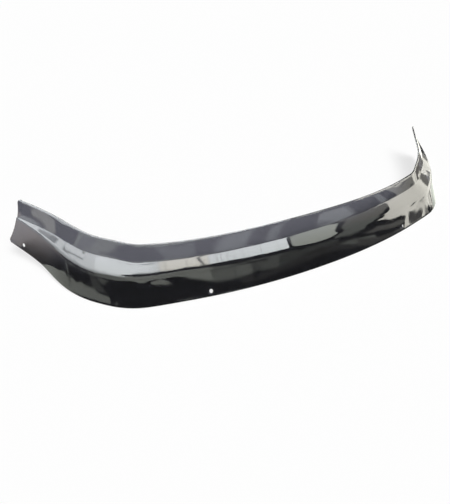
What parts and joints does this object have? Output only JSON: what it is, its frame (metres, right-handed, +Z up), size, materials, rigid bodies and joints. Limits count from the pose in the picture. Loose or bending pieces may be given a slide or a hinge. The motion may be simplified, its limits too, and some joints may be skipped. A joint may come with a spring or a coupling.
{
  "type": "hood bug deflector",
  "caption": "Wrap-around hood bug deflector formed from one smoked acrylic sheet, with an upright lip, a shelf, a front face and screw holes.",
  "frame": {"origin": "middle of the footprint, on the surface that the bottom edge rests on", "axes": "X along the hood's front edge, the front faces -Y, +Z up"},
  "size_m": [1.2878, 0.3324, 0.1014],
  "materials": {
    "smoked_acrylic": "polished, see-through smoke grey"
  },
  "bodies": {
    "root": {"deflector": "smoked_acrylic"}
  },
  "joints": []
}
